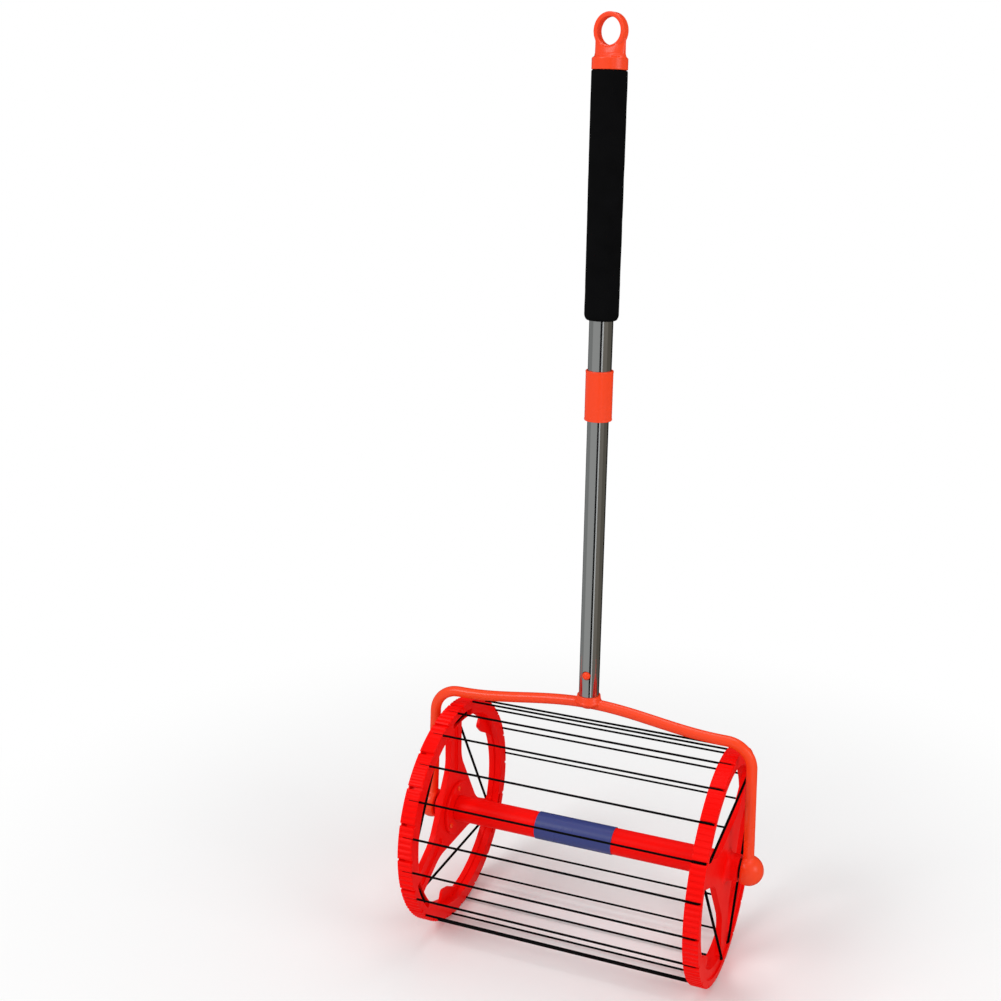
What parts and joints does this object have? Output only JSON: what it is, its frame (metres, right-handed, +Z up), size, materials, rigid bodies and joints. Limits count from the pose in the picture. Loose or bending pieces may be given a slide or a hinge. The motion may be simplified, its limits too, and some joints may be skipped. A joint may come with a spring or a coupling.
{
  "type": "table tennis ball pickup hopper",
  "caption": "Rolling cage of sprung wires on a telescoping pole with a yoke, foam grip and hanging loop, for picking up table tennis balls.",
  "frame": {"origin": "on the ground under the middle of the drum, which is the bounding box's bottom centre", "axes": "+X along the drum's axle to the right wheel, +Z up the pole, -Y to the front, where the snap button points"},
  "size_m": [0.3744, 0.236, 0.9046],
  "materials": {
    "red_plastic": "injection-moulded gloss, bright red",
    "orange_plastic": "injection-moulded satin, orange-red",
    "black_foam": "closed-cell foam, matt black",
    "chrome_tube": "polished chrome plating on steel tube",
    "steel": "zinc-plated steel",
    "spring_steel": "blued spring steel",
    "black_wire": "black-coated spring wire",
    "black_cord": "black elastic cord",
    "black_nylon": "black nylon",
    "blue_label": "plain blue printed sleeve, left bare"
  },
  "bodies": {
    "handle": {"hanging_cap": "orange_plastic", "foam_grip": "black_foam", "upper_tube": "chrome_tube", "lock_collar": "orange_plastic"},
    "twist_lock": {"lock_sleeve": "black_nylon"},
    "pole": {"lock_plug": "black_nylon", "lower_tube": "chrome_tube", "yoke_frame": "orange_plastic", "axle_rod": "steel", "snap_spring": "spring_steel"},
    "button": {"snap_button": "orange_plastic"},
    "drum": {"wheel_left": "red_plastic", "wheel_right": "red_plastic", "hub_flange_left": "red_plastic", "hub_flange_right": "red_plastic", "hub_bush_left": "black_nylon", "hub_bush_right": "black_nylon", "window_cord_left": "black_cord", "window_cord_right": "black_cord", "centre_tube": "red_plastic", "label_band": "blue_label", "hub_screw_left_1": "steel", "hub_screw_left_2": "steel", "hub_screw_left_3": "steel", "hub_screw_right_1": "steel", "hub_screw_right_2": "steel", "hub_screw_right_3": "steel", "cage_wire_01": "black_wire", "cage_wire_02": "black_wire", "cage_wire_03": "black_wire", "cage_wire_04": "black_wire", "cage_wire_05": "black_wire", "cage_wire_06": "black_wire", "cage_wire_07": "black_wire", "cage_wire_08": "black_wire", "cage_wire_09": "black_wire", "cage_wire_10": "black_wire", "cage_wire_11": "black_wire", "cage_wire_12": "black_wire", "cage_wire_13": "black_wire", "cage_wire_14": "black_wire", "cage_wire_15": "black_wire", "cage_wire_16": "black_wire", "cage_wire_17": "black_wire", "cage_wire_18": "black_wire", "cage_wire_19": "black_wire", "cage_wire_20": "black_wire"}
  },
  "joints": [
    {"name": "pole_slide", "type": "slide", "parent": "handle", "child": "twist_lock", "axis": [0, 0, -1], "range_m": [0, 0.19]},
    {"name": "lock_turn", "type": "hinge", "parent": "twist_lock", "child": "pole", "pos_m": [0, 0, 0.8083], "axis": [0, 0, 1], "range_deg": [0, 90]},
    {"name": "drum_spin", "type": "hinge", "parent": "pole", "child": "drum", "pos_m": [0, 0, 0.118], "axis": [1, 0, 0], "continuous": true},
    {"name": "button_press", "type": "slide", "parent": "pole", "child": "button", "axis": [0, 1, 0], "range_m": [0, 0.004], "stiffness_N_per_m": 900, "springref_m": -0.0015}
  ]
}
